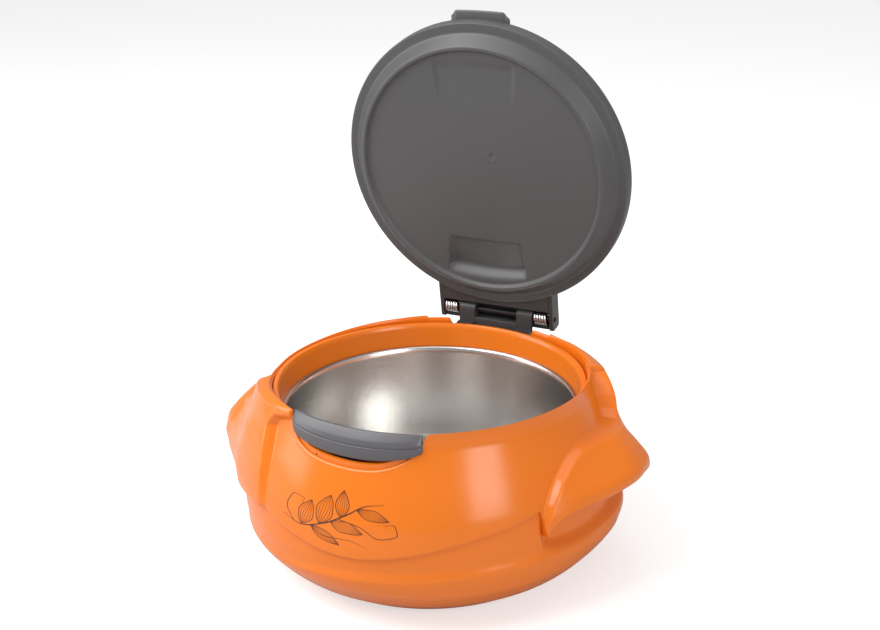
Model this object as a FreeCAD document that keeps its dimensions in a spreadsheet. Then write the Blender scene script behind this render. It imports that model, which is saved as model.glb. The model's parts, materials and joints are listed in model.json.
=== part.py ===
"""Insulated casserole with a sprung hinged lid, a tilting latch button and two swept handle flaps.

Millimetres. The origin is the middle of the base, +Z is up, the hinge is at the back (+Y)
and the latch button is at the front (-Y). The lid is drawn closed and then turned to its open stop.
"""
import FreeCAD, Part
import Sketcher
import math
import os
from FreeCAD import Vector

doc = FreeCAD.newDocument("Casserole")

# Driving dimensions
SIZES = {
    "lip_radius": 100.0,
    "lip_height": 119.0,
    "lip_crown": 3.1,
    "ring_wall": 3.2,
    "ring_drop": 4.0,
    "shell_wall": 3.0,
    "foot_inset": 10.0,
    "belly_width": 29.0,
    "belly_height": 48.0,
    "shoulder_width": 10.0,
    "crest_rise": 12.5,
    "front_gap": 0.7,
    "front_wall": 2.9,
    "collar_rise": 5.0,
    "collar_gap": 6.5,
    "collar_width": 5.5,
    "ledge_drop": 2.0,
    "cover_thickness": 2.5,
    "cover_recess": 0.8,
    "fit_gap": 0.3,
    "bowl_sheet": 0.8,
    "bowl_rim_drop": 14.0,
    "bowl_floor": 22.0,
    "bowl_floor_inset": 24.0,
    "lid_overhang": 3.9,
    "lid_lift": 3.4,
    "lid_wall": 2.4,
    "lid_skirt": 9.5,
    "lid_dome": 9.0,
    "plug_top_gap": 3.0,
    "plug_gap": 10.0,
    "plug_depth": 9.0,
    "plug_recess": 2.5,
    "pin_outset": 16.0,
    "pin_rise": 10.5,
    "pin_radius": 2.0,
    "pin_clearance": 0.05,
    "open_angle": 81.3,
    "bracket_half": 44.5,
    "bracket_cheek": 3.0,
    "bracket_plate": 2.5,
    "bracket_back": 12.0,
    "bracket_top": 8.5,
    "bracket_drop": 4.0,
    "knuckle_inner": 16.5,
    "knuckle_width": 12.0,
    "knuckle_radius": 5.5,
    "mount_thickness": 3.0,
    "seat_drop": 6.5,
    "spring_wire": 1.5,
    "spring_radius": 4.4,
    "spring_pitch": 1.95,
    "spring_turns": 5.0,
    "button_centre": -92.0,
    "button_span": 51.0,
    "button_rise": 11.8,
    "button_edge_rise": 4.6,
    "button_drop": 6.7,
    "button_depth": 6.3,
    "notch_drop": 11.5,
    "notch_margin": 2.5,
    "rocker_outset": 6.2,
    "rocker_drop": 10.0,
    "rocker_radius": 1.25,
    "lug_place": 20.0,
    "lug_width": 5.0,
    "ear_width": 4.0,
    "ear_gap": 0.3,
    "shelf_drop": 15.5,
    "shelf_thickness": 2.5,
    "tongue_half": 22.0,
    "tongue_reach": 8.0,
    "tongue_thickness": 3.0,
    "tongue_rise": 2.4,
    "screw_radius": 1.75,
    "screw_head": 3.2,
    "screw_place": 36.0,
    "screw_length": 8.0,
    "handle_length": 51.0,
    "handle_drop": 39.0,
    "handle_lip": 5.0,
}

# Radii that follow the mouth and levels that follow its lip
DERIVED = {
    "foot_radius": "(lip_radius - foot_inset)",
    "belly_radius": "(lip_radius + belly_width)",
    "shoulder_radius": "(lip_radius + shoulder_width)",
    "collar_inner": "(lip_radius + collar_gap)",
    "bowl_floor_radius": "(lip_radius - bowl_floor_inset)",
    "lid_radius": "(lip_radius + lid_overhang)",
    "plug_top_radius": "(lip_radius - plug_top_gap)",
    "plug_radius": "(lip_radius - plug_gap)",
    "pin_y": "(lip_radius + pin_outset)",
    "rocker_y": "(lip_radius + rocker_outset)",
    "handle_reach": "(lip_radius + handle_length)",
    "ring_floor": "(lip_height - ring_drop)",
    "front_crest": "(lip_height + crest_rise)",
    "collar_crest": "(lip_height + collar_rise)",
    "collar_ledge": "(lip_height - ledge_drop)",
    "lid_plane": "(lip_height + lid_lift)",
    "pin_z": "(lip_height + pin_rise)",
    "mount_seat": "(lip_height - seat_drop)",
    "button_top": "(lip_height + button_rise)",
    "button_edge": "(lip_height + button_edge_rise)",
    "button_bottom": "(lip_height - button_drop)",
    "notch_floor": "(lip_height - notch_drop)",
    "rocker_z": "(lip_height - rocker_drop)",
    "shelf_top": "(lip_height - shelf_drop)",
    "handle_tip": "(lip_height - handle_drop)",
}

sheet = doc.addObject("Spreadsheet::Sheet", "Dims")
for row, (alias, size) in enumerate(SIZES.items(), start=1):
    sheet.set("A%d" % row, alias)
    sheet.set("B%d" % row, str(size))
    sheet.setAlias("B%d" % row, alias)
doc.recompute()


def expr(text):
    """Turns a formula of plain size names into one that reads the sheet."""
    words = []
    word = ""
    for letter in text + " ":
        if letter.isalnum() or letter == "_":
            word += letter
            continue
        if word in DERIVED:
            word = expr(DERIVED[word])
        elif word in SIZES:
            word = "Dims." + word
        words.append(word)
        words.append(letter)
        word = ""
    return "".join(words).strip()


def size(text):
    """The number that a formula of size names gives."""
    value = sheet.evalExpression(expr(text))
    return float(getattr(value, "Value", value))


def bind(item, prop, text):
    item.setExpression(prop, expr(text))


def origin_plane(body, role):
    return next(f for f in body.Origin.OriginFeatures if f.Role == role)


def outline_sketch(body, name, points):
    """A closed outline on the body's XZ plane: each corner is held to the axes by two formulas."""
    sketch = body.newObject("Sketcher::SketchObject", name)
    sketch.AttachmentSupport = [(origin_plane(body, "XZ_Plane"), "")]
    sketch.MapMode = "FlatFace"
    corners = [Vector(size(x), size(z), 0) for x, z in points]
    count = len(corners)
    for i in range(count):
        sketch.addGeometry(Part.LineSegment(corners[i], corners[(i + 1) % count]), False)
    for i in range(count):
        sketch.addConstraint(Sketcher.Constraint("Coincident", i, 2, (i + 1) % count, 1))
    for i, (x, z) in enumerate(points):
        for kind, text, value, axis in (("DistanceX", x, corners[i].x, -2),
                                        ("DistanceY", z, corners[i].y, -1)):
            if text == "0":
                sketch.addConstraint(Sketcher.Constraint("PointOnObject", i, 1, axis))
                continue
            index = sketch.addConstraint(Sketcher.Constraint(kind, -1, 1, i, 1, value))
            sketch.setExpression("Constraints[%d]" % index, expr(text))
    return sketch


def turned_body(label, points):
    """A piece turned about the Z axis from an outline of (radius, height) corners."""
    body = doc.addObject("PartDesign::Body", label)
    body.Label = label
    sketch = outline_sketch(body, label + "_outline", points)
    turn = body.newObject("PartDesign::Revolution", label + "_turn")
    turn.Profile = sketch
    turn.ReferenceAxis = (sketch, ["V_Axis"])
    turn.Angle = 360.0
    doc.recompute()
    return body


def box(name, x0, x1, y0, y1, z0, z1):
    """A box between six formulas."""
    item = doc.addObject("Part::Box", name)
    bind(item, "Length", "(%s) - (%s)" % (x1, x0))
    bind(item, "Width", "(%s) - (%s)" % (y1, y0))
    bind(item, "Height", "(%s) - (%s)" % (z1, z0))
    bind(item, "Placement.Base.x", x0)
    bind(item, "Placement.Base.y", y0)
    bind(item, "Placement.Base.z", z0)
    return item


def bar(name, radius, x0, x1, y, z):
    """A round bar along X."""
    item = doc.addObject("Part::Cylinder", name)
    item.Placement = FreeCAD.Placement(Vector(0, 0, 0), FreeCAD.Rotation(Vector(0, 1, 0), 90))
    bind(item, "Radius", radius)
    bind(item, "Height", "(%s) - (%s)" % (x1, x0))
    bind(item, "Placement.Base.x", x0)
    bind(item, "Placement.Base.y", y)
    bind(item, "Placement.Base.z", z)
    return item


def post(name, radius, x, y, z0, z1):
    """A round post along Z."""
    item = doc.addObject("Part::Cylinder", name)
    bind(item, "Radius", radius)
    bind(item, "Height", "(%s) - (%s)" % (z1, z0))
    bind(item, "Placement.Base.x", x)
    bind(item, "Placement.Base.y", y)
    bind(item, "Placement.Base.z", z0)
    return item


def fuse(name, items):
    item = doc.addObject("Part::MultiFuse", name)
    item.Shapes = items
    return item


def cut(name, base, tool):
    item = doc.addObject("Part::Cut", name)
    item.Base = base
    item.Tool = tool
    return item


def feature(label, shape):
    """A piece whose shape is worked out below from the sheet's sizes."""
    item = doc.addObject("Part::Feature", label)
    item.Label = label
    item.Shape = shape
    return item


def polar(radius, height, angle):
    turn = math.radians(angle)
    return Vector(radius * math.cos(turn), radius * math.sin(turn), height)


def wall_sector(points, start, span):
    """A wall section of (radius, height) corners swept about Z from one angle through a span."""
    face = Part.Face(Part.makePolygon([polar(r, z, start) for r, z in points + points[:1]]))
    return face.revolve(Vector(0, 0, 0), Vector(0, 0, 1), span)


SCREW_Y = "pin_y - knuckle_radius - 2.5"

# Outer shell: a double-curved wall with a high front crest, a collar at the back and two handle flaps
FRONT_START = -150.0
FRONT_SPAN = 182.0
FLAP_TURNS = (0.0, 180.0)
CLEAR = 20.0     # how far a cutting tool runs past the piece that it cuts


def side_curve(inset):
    """The wall's side from the foot to the shoulder, as a spline through its main stations."""
    foot = size("foot_radius")
    belly = size("belly_radius")
    level = size("belly_height")
    shoulder = size("shoulder_radius")
    top = size("ring_floor")
    stations = [
        (foot, 0.0),
        (foot + 0.54 * (belly - foot), 0.29 * level),
        (foot + 0.91 * (belly - foot), 0.62 * level),
        (belly, level),
        (belly - 0.08 * (belly - shoulder), level + 0.27 * (top - level)),
        (belly - 0.36 * (belly - shoulder), level + 0.58 * (top - level)),
        (shoulder, top),
    ]
    curve = Part.BSplineCurve()
    curve.interpolate([Vector(r - inset, 0, z) for r, z in stations])
    return curve


def shell_face(rim):
    """The wall's section: outer side, the rim's corners, inner side and the foot's flat."""
    outer = side_curve(0.0)
    inner = side_curve(size("shell_wall"))
    outer_foot = outer.value(outer.FirstParameter)
    outer_top = outer.value(outer.LastParameter)
    inner_foot = inner.value(inner.FirstParameter)
    inner_top = inner.value(inner.LastParameter)
    corners = [outer_top] + [Vector(r, 0, z) for r, z in rim] + [inner_top]
    edges = [outer.toShape()]
    edges += [Part.makeLine(a, b) for a, b in zip(corners, corners[1:])]
    edges += [inner.toShape(), Part.makeLine(inner_foot, outer_foot)]
    return Part.Face(Part.Wire(Part.__sortEdges__(edges)))


def swept(face, start, span):
    turned = face.copy()
    turned.rotate(Vector(0, 0, 0), Vector(0, 0, 1), start)
    return turned.revolve(Vector(0, 0, 0), Vector(0, 0, 1), span)


def front_rim():
    inside = size("lid_radius + front_gap")
    crest = size("front_crest")
    wall = size("front_wall")
    return [
        (inside + wall, crest - wall),
        (inside + 0.6 * wall, crest),
        (inside + 0.2 * wall, crest),
        (inside, crest - 0.4 * wall),
        (inside, size("ring_floor")),
    ]


def back_rim():
    inside = size("collar_inner")
    crest = size("collar_crest")
    width = size("collar_width")
    floor = size("ring_floor")
    ledge = size("collar_ledge")
    return [
        (inside + width + 0.5, crest - 0.5 * width),
        (inside + 0.7 * width, crest),
        (inside + 0.3 * width, crest),
        (inside, crest - 0.3 * width),
        (inside, ledge),
        (size("lid_radius + front_gap"), ledge),
        (size("lid_radius + front_gap"), floor),
    ]


def flap_sections():
    """Stations round a flap: angle, upper edge, tip, lower lip and root, as (radius, height)."""
    reach = size("handle_reach")
    tip = size("handle_tip")
    lip = size("handle_lip")
    top = size("collar_crest")
    shoulder = size("shoulder_radius")
    belly = size("belly_radius")
    return [
        (-32, (belly, tip - 16), (belly + 1.5, tip - 18), (belly + 1, tip - 20), (belly - 2, tip - 22)),
        (-25, (belly - 4, tip + 7), (reach - 19, tip - 5), (reach - 20, tip - 5 - lip), (belly - 3, tip - 10)),
        (-17, (belly - 9, tip + 19), (reach - 14, tip - 3), (reach - 15, tip - 3 - lip), (belly - 4, tip - 7)),
        (-7, (belly - 11, tip + 23), (reach - 6, tip - 1), (reach - 7, tip - 1 - lip), (belly - 4, tip - 4)),
        (3, (shoulder + 6, tip + 27), (reach, tip), (reach - 1, tip - lip), (belly - 4, tip)),
        (13, (shoulder + 3, tip + 34), (reach - 1, tip), (reach - 2, tip - lip), (belly - 5, tip + 2)),
        (23, (shoulder + 1, top - 3), (reach - 6, tip - 1), (reach - 7, tip - 1 - lip), (belly - 5, tip + 2)),
        (33, (shoulder + 0.5, top - 4), (reach - 12, tip - 2), (reach - 13, tip - 2 - lip), (belly - 4, tip)),
        (43, (shoulder + 1, top - 8), (reach - 18, tip - 4), (reach - 19, tip - 4 - lip), (belly - 3, tip - 4)),
        (52, (shoulder + 3, top - 14), (belly + 1, tip - 8), (belly, tip - 8 - lip), (belly - 3, tip - 10)),
    ]


def flap(turn):
    inset = 0.5 * size("shell_wall")
    wires = []
    for angle, upper, tip, lip, root in flap_sections():
        corners = [upper, tip, lip, root, (root[0] - inset, root[1] + 1.0), (upper[0] - inset - 1.0, upper[1] - 2.0)]
        wires.append(Part.makePolygon([polar(r, z, angle + turn) for r, z in corners + corners[:1]]))
    return Part.makeLoft(wires, True, True)


def inner_point(end):
    """The foot (0) or the top (1) of the wall's inner side."""
    curve = side_curve(size("shell_wall"))
    return curve.value(curve.LastParameter if end else curve.FirstParameter)


def outer_shell():
    shell = swept(shell_face(front_rim()), FRONT_START, FRONT_SPAN)
    shell = shell.fuse(swept(shell_face(back_rim()), FRONT_START + FRONT_SPAN, 360.0 - FRONT_SPAN))
    for turn in FLAP_TURNS:
        shell = shell.fuse(flap(turn))
    hollow = Part.Face(Part.Wire([
        Part.makeLine(Vector(0, 0, 0), inner_point(0)),
        side_curve(size("shell_wall")).toShape(),
        Part.makeLine(inner_point(1), Vector(0, 0, size("ring_floor"))),
        Part.makeLine(Vector(0, 0, size("ring_floor")), Vector(0, 0, 0)),
    ])).revolve(Vector(0, 0, 0), Vector(0, 0, 1), 360)
    shell = shell.cut(hollow)
    start = size("button_centre - button_span / 2 - notch_margin")
    span = size("button_span + 2 * notch_margin")
    inside = size("lip_radius + ring_wall + fit_gap")
    outside = size("belly_radius") + CLEAR
    above = size("front_crest") + CLEAR
    notch = [(inside, size("notch_floor")), (outside, size("notch_floor")), (outside, above), (inside, above)]
    shell = shell.cut(wall_sector(notch, start, span))
    half = size("bracket_half + 2")
    seat = size("mount_seat")
    middle = size("lip_radius") / 2
    shell = shell.cut(Part.makeBox(2 * half, 2 * middle, above - seat, Vector(-half, middle, seat)))
    depth = size("screw_length") + 1
    for side in (-1, 1):
        place = Vector(side * size("screw_place"), size(SCREW_Y), seat - depth)
        shell = shell.cut(Part.makeCylinder(size("screw_radius"), depth + 1, place))
    return shell.removeSplitter()


feature("outer_shell", outer_shell())

# Fixed pieces turned about the body's axis
RING_OUTER = "lip_radius + ring_wall"
RING_FLANGE = "lid_radius + front_gap - fit_gap"
BOWL_RIM = "lip_height - bowl_rim_drop"

turned_body("base_cover", [
    ("0", "cover_recess"),
    ("foot_radius - shell_wall - fit_gap", "cover_recess"),
    ("foot_radius - shell_wall - fit_gap", "cover_recess + cover_thickness + 3"),
    ("foot_radius - shell_wall - fit_gap - 2", "cover_recess + cover_thickness + 3"),
    ("foot_radius - shell_wall - fit_gap - 3", "cover_recess + cover_thickness"),
    ("0", "cover_recess + cover_thickness"),
])

turned_body("rim_ring", [
    ("lip_radius - 1", BOWL_RIM + " + bowl_sheet + 0.1"),
    (RING_OUTER, BOWL_RIM + " + bowl_sheet + 0.1"),
    (RING_OUTER, "ring_floor - 3"),
    (RING_FLANGE, "ring_floor - 3"),
    (RING_FLANGE, "ring_floor - fit_gap"),
    (RING_OUTER, "ring_floor - fit_gap"),
    (RING_OUTER, "lip_height + lip_crown - 0.4"),
    (RING_OUTER + " - 0.6", "lip_height + lip_crown"),
    ("lip_radius + 1.4", "lip_height + lip_crown"),
    ("lip_radius + 0.3", "lip_height + 1.2"),
    ("lip_radius", "lip_height"),
])

turned_body("steel_bowl", [
    ("0", "bowl_floor"),
    ("bowl_floor_radius", "bowl_floor"),
    ("bowl_floor_radius + 8", "bowl_floor + 3"),
    ("bowl_floor_radius + 12", "bowl_floor + 10"),
    ("lip_radius - 3.5", BOWL_RIM + " - 2"),
    ("lip_radius - 2.5", BOWL_RIM),
    ("lip_radius + 2.5", BOWL_RIM),
    ("lip_radius + 2.5", BOWL_RIM + " + bowl_sheet"),
    ("lip_radius - 2.9", BOWL_RIM + " + bowl_sheet"),
    ("lip_radius - 3.5 - bowl_sheet", BOWL_RIM + " - 1.6"),
    ("bowl_floor_radius + 12 - bowl_sheet", "bowl_floor + 10 + bowl_sheet / 2"),
    ("bowl_floor_radius + 8 - bowl_sheet", "bowl_floor + 3 + bowl_sheet"),
    ("bowl_floor_radius", "bowl_floor + bowl_sheet"),
    ("0", "bowl_floor + bowl_sheet"),
])

turned_body("foam_core", [
    ("0", "cover_recess + cover_thickness + 4"),
    ("foot_radius - shell_wall - 3", "cover_recess + cover_thickness + 4"),
    ("belly_radius - shell_wall - 9", "belly_height - 16"),
    ("belly_radius - shell_wall - 2", "belly_height"),
    ("belly_radius - shell_wall - 6", "belly_height + 20"),
    ("lip_radius + 7", BOWL_RIM + " - 6"),
    ("lip_radius + 2", BOWL_RIM + " - 3"),
    ("lip_radius - 2.2", BOWL_RIM + " - 3"),
    ("bowl_floor_radius + 12.6", "bowl_floor + 9.6"),
    ("bowl_floor_radius + 8.4", "bowl_floor + 2.4"),
    ("bowl_floor_radius + 0.2", "bowl_floor - fit_gap"),
    ("0", "bowl_floor - fit_gap"),
])

# Hinge mount: a plate screwed to the shell's seat, with two arms that carry the pin's knuckles
MOUNT_FRONT = "lid_radius + front_gap + fit_gap"
ARM_BACK = "pin_y - knuckle_radius + 2"
mount_parts = [box("mount_plate", "-bracket_half", "bracket_half", MOUNT_FRONT, "pin_y - knuckle_radius + 1.5",
                   "mount_seat", "mount_seat + mount_thickness")]
for side, name in ((-1, "left"), (1, "right")):
    near = "knuckle_inner" if side > 0 else "-knuckle_inner - knuckle_width"
    far = "knuckle_inner + knuckle_width" if side > 0 else "-knuckle_inner"
    mount_parts.append(box("arm_" + name, near, far, MOUNT_FRONT, ARM_BACK,
                           "mount_seat", "pin_z - bracket_top"))
    mount_parts.append(box("neck_" + name, near, far, "pin_y - knuckle_radius", ARM_BACK,
                           "pin_z - bracket_top - 1", "pin_z"))
    mount_parts.append(bar("knuckle_" + name, "knuckle_radius", near, far, "pin_y", "pin_z"))
mount_solid = fuse("mount_solid", mount_parts)
mount_cuts = [bar("pin_bore", "pin_radius + pin_clearance", "-bracket_half", "bracket_half", "pin_y", "pin_z")]
for side, name in ((-1, "left"), (1, "right")):
    place = "%d * screw_place" % side
    mount_cuts.append(post("mount_hole_" + name, "screw_radius + 0.1", place, SCREW_Y,
                           "mount_seat - 1", "mount_seat + mount_thickness + 1"))
mount = cut("hinge_mount", mount_solid, fuse("mount_holes", mount_cuts))
mount.Label = "hinge_mount"

screw_parts = []
for side, name in ((-1, "left"), (1, "right")):
    place = "%d * screw_place" % side
    shank = post("screw_shank_" + name, "screw_radius - 0.05", place, SCREW_Y,
                 "mount_seat - screw_length", "mount_seat + mount_thickness + 0.5")
    head = post("screw_head_" + name, "screw_head", place, SCREW_Y,
                "mount_seat + mount_thickness", "mount_seat + mount_thickness + 1.6")
    screw_parts.append(fuse("screw_" + name, [shank, head]))
screws = doc.addObject("Part::Compound", "hinge_mount_screws")
screws.Links = screw_parts
screws.Label = "hinge_mount_screws"

# Lid pieces, drawn closed and then turned about the pin to the open stop
HINGE = Vector(0, size("pin_y"), size("pin_z"))
OPEN = FreeCAD.Placement(Vector(0, 0, 0), FreeCAD.Rotation(Vector(1, 0, 0), -size("open_angle")), HINGE)


def opened(item):
    item.Placement = OPEN.multiply(item.Placement)
    return item


# The liner's plug: a sloping skirt that goes down into the mouth, round a slightly sunk disc
SKIRT_TOP = "lid_plane + lid_skirt"
PLUG_FLOOR = "lid_plane - plug_depth"
liner = turned_body("lid_liner", [
    ("0", PLUG_FLOOR + " + plug_recess"),
    ("plug_radius - 3.5", PLUG_FLOOR + " + plug_recess"),
    ("plug_radius - 2.2", PLUG_FLOOR),
    ("plug_radius - 0.6", PLUG_FLOOR),
    ("plug_radius", PLUG_FLOOR + " + 0.6"),
    ("plug_top_radius", "lid_plane"),
    ("lid_radius - 0.6", "lid_plane"),
    ("lid_radius", "lid_plane + 0.6"),
    ("lid_radius", "lid_plane + lid_wall"),
    ("plug_top_radius - 1.5", "lid_plane + lid_wall"),
    ("plug_radius - 2", PLUG_FLOOR + " + plug_recess + lid_wall"),
    ("0", PLUG_FLOOR + " + plug_recess + lid_wall"),
])
opened(liner)

shell_bottom = "lid_plane + lid_wall"
lid_shell = turned_body("lid_shell", [
    ("lid_radius - lid_wall", shell_bottom),
    ("lid_radius", shell_bottom),
    ("lid_radius", SKIRT_TOP),
    ("lid_radius - 2.5", SKIRT_TOP + " + 2"),
    ("0.8 * lid_radius", SKIRT_TOP + " + 0.62 * lid_dome"),
    ("0.5 * lid_radius", SKIRT_TOP + " + 0.9 * lid_dome"),
    ("0", SKIRT_TOP + " + lid_dome"),
    ("0", SKIRT_TOP + " + lid_dome - lid_wall"),
    ("0.5 * lid_radius", SKIRT_TOP + " + 0.9 * lid_dome - lid_wall"),
    ("0.8 * lid_radius", SKIRT_TOP + " + 0.62 * lid_dome - lid_wall"),
    ("lid_radius - lid_wall", SKIRT_TOP + " - 1"),
])
opened(lid_shell)

lid_foam = turned_body("lid_foam", [
    ("0", PLUG_FLOOR + " + plug_recess + lid_wall + fit_gap"),
    ("plug_radius - 3", PLUG_FLOOR + " + plug_recess + lid_wall + fit_gap"),
    ("plug_top_radius - 2.5", "lid_plane + lid_wall + fit_gap"),
    ("lid_radius - lid_wall - 4", "lid_plane + lid_wall + fit_gap"),
    ("lid_radius - lid_wall - 4", SKIRT_TOP + " - 2"),
    ("0.8 * lid_radius", SKIRT_TOP + " + 0.62 * lid_dome - lid_wall - 1"),
    ("0.5 * lid_radius", SKIRT_TOP + " + 0.9 * lid_dome - lid_wall - 1"),
    ("0", SKIRT_TOP + " + lid_dome - lid_wall - 1"),
])
opened(lid_foam)

# Hinge bracket: an open-fronted cover over the springs, joined to the lid's edge
bracket_block = box("bracket_block", "-bracket_half", "bracket_half", "lid_radius - 10", "pin_y + bracket_back",
                    "lid_plane", "pin_z + bracket_top")
bracket_room = box("bracket_room", "-bracket_half + bracket_cheek", "bracket_half - bracket_cheek",
                   "pin_y - knuckle_radius - 2", "pin_y + bracket_back - bracket_plate",
                   "lid_plane - 1", "pin_z + bracket_top - bracket_plate")
bracket_heel = box("bracket_heel", "-bracket_half - 1", "bracket_half + 1",
                   "pin_y + 1", "pin_y + bracket_back + 1", "lid_plane - 1", "pin_z - bracket_drop")
lid_edge = post("lid_edge", "lid_radius + 0.02", "0", "0", "lid_plane - 1", "pin_z + bracket_top + 1")
bracket_bore = bar("bracket_bore", "pin_radius + pin_clearance", "-bracket_half - 1", "bracket_half + 1",
                   "pin_y", "pin_z")
bracket = cut("lid_hinge_bracket", bracket_block,
              fuse("bracket_cuts", [bracket_room, bracket_heel, lid_edge, bracket_bore]))
bracket.Label = "lid_hinge_bracket"
opened(bracket)

pin = bar("hinge_pin", "pin_radius", "-bracket_half", "bracket_half", "pin_y", "pin_z")
pin.Label = "hinge_pin"

# Front tongue, the tab that a thumb lifts
tongue_block = box("tongue_block", "-tongue_half", "tongue_half", "-lid_radius - tongue_reach", "-lid_radius + 6",
                   SKIRT_TOP + " - tongue_thickness + tongue_rise", SKIRT_TOP + " + tongue_rise")
tongue_edge = post("tongue_edge", "lid_radius + 0.02", "0", "0", "lid_plane - 1", SKIRT_TOP + " + 4")
tongue = cut("lid_tongue", tongue_block, tongue_edge)
tongue.Label = "lid_tongue"
opened(tongue)

# Torsion springs: round wire wound about the hinge pin


def least_gap(points, wire, apart):
    """The least gap between a tube and itself, from points that lie over half a turn apart on it."""
    nearest = min(a.distanceToPoint(b) for i, a in enumerate(points) for b in points[i + apart:])
    return nearest - wire


def coil(radius, pitch, turns, wire, start, lean):
    """A coil along X as one unbroken tube on quarter-turn arcs, with its least gap printed."""
    points = []
    steps = int(round(turns * 8))
    for i in range(steps + 1):
        turn = math.radians(lean) + 2 * math.pi * i / 8
        place = start + Vector(pitch * i / 8, radius * math.cos(turn), radius * math.sin(turn))
        points.append(place)
    print("coil gap %.2f" % least_gap(points, wire, 5))
    edges = [Part.Arc(points[i], points[i + 1], points[i + 2]).toShape() for i in range(0, steps - 1, 2)]
    path = Part.Wire(edges)
    tangent = edges[0].tangentAt(edges[0].FirstParameter)
    ring = Part.Wire([Part.Circle(points[0], tangent, wire / 2).toShape()])
    return path.makePipeShell([ring], True, False)


SPRING_LENGTH = size("spring_pitch * spring_turns")
for side, name in ((-1, "left"), (1, "right")):
    middle = side * size("knuckle_inner + knuckle_width + bracket_half - bracket_cheek") / 2
    begin = Vector(middle - SPRING_LENGTH / 2, HINGE.y, HINGE.z)
    wound = coil(size("spring_radius"), size("spring_pitch"), size("spring_turns"), size("spring_wire"), begin, 90.0)
    feature("torsion_spring_" + name, wound)

# Latch shelf: the notch's floor, with two lugs for the rocker's pin
SHELF_INNER = size("lip_radius + ring_wall + fit_gap")
SHELF_START = size("button_centre - button_span / 2")
SHELF_SPAN = size("button_span")
shelf_low = size("shelf_top - shelf_thickness")
shelf_high = size("shelf_top")
shelf_section = [(SHELF_INNER, shelf_low), (SHELF_INNER + 6.5, shelf_low),
                 (SHELF_INNER + 6.5, shelf_high), (SHELF_INNER, shelf_high)]
shelf = wall_sector(shelf_section, SHELF_START, SHELF_SPAN)
rocker = Vector(0, -size("rocker_y"), size("rocker_z"))
lug = size("lug_width")
lug_depth = size("rocker_radius") + 0.75
for side in (-1, 1):
    middle = side * size("lug_place")
    shelf = shelf.fuse(Part.makeBox(lug, 2 * lug_depth, rocker.z + lug_depth - shelf_low,
                                    Vector(middle - lug / 2, rocker.y - lug_depth, shelf_low)))
rocker_reach = size("lug_place + lug_width")
along_x = Vector(1, 0, 0)
shelf = shelf.cut(Part.makeCylinder(size("rocker_radius"), 2 * rocker_reach,
                                    Vector(-rocker_reach, rocker.y, rocker.z), along_x))
feature("latch_shelf", shelf.removeSplitter())

rocker_pin = bar("button_pivot_pin", "rocker_radius", "-lug_place - lug_width / 2 - 4",
                 "lug_place + lug_width / 2 + 4", "-rocker_y", "rocker_z")
rocker_pin.Label = "button_pivot_pin"

# Latch button: a crescent that rocks on its pin
inner_face = size("lid_radius + front_gap")
button_section = [
    (inner_face, size("button_bottom")),
    (inner_face + size("button_depth") + 0.6, size("button_bottom")),
    (inner_face + size("button_depth"), size("button_edge")),
    (inner_face + size("button_depth") - 1.0, size("button_edge") + 1.2),
    (inner_face + 1.5, size("button_top")),
    (inner_face, size("button_top")),
]
button = wall_sector(button_section, SHELF_START, SHELF_SPAN)
hub = size("rocker_radius") + 1.0
ear_width = size("ear_width")
for side in (-1, 1):
    ear_start = side * size("lug_place - lug_width / 2 - ear_gap - ear_width / 2") - ear_width / 2
    ear = Part.makeBox(ear_width, 2 * hub, size("button_bottom") + 2 - rocker.z,
                       Vector(ear_start, rocker.y - hub, rocker.z))
    ear = ear.fuse(Part.makeCylinder(hub, ear_width, Vector(ear_start, rocker.y, rocker.z), along_x))
    button = button.fuse(ear)
button = button.cut(Part.makeCylinder(size("rocker_radius + pin_clearance"), 2 * rocker_reach,
                                      Vector(-rocker_reach, rocker.y, rocker.z), along_x))
feature("push_button", button.removeSplitter())

# Export
PIECES = [
    "outer_shell", "base_cover", "rim_ring", "steel_bowl", "foam_core", "hinge_mount", "hinge_mount_screws",
    "torsion_spring_left", "torsion_spring_right", "latch_shelf", "button_pivot_pin", "push_button",
    "lid_liner", "lid_shell", "lid_foam", "lid_hinge_bracket", "hinge_pin", "lid_tongue",
]

doc.recompute()
for item in doc.Objects:
    if "Invalid" in item.State or "Error" in item.State:
        raise RuntimeError("%s is %s" % (item.Label, item.State))
os.makedirs("parts", exist_ok=True)
for label in PIECES:
    piece = doc.getObjectsByLabel(label)[0]
    if piece.Shape.isNull() or not piece.Shape.isValid():
        raise RuntimeError("%s has no valid shape" % label)
    print("%s: %d solids, volume %.0f" % (label, len(piece.Shape.Solids), piece.Shape.Volume))
    piece.Shape.exportStep("parts/%s.step" % label)
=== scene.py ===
"""Dresses the insulated casserole: swept shell, lid, button, hinge, steel bowl, print, light and camera.

Lengths are in millimetres until a mesh is made. The shell is written on a chart of (angle, height), with the
angle in degrees round Z. The half-turn symmetry of the two flaps is in fold().
"""
import json
import math
import bpy
import numpy as np
from mathutils import Matrix, Vector


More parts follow.
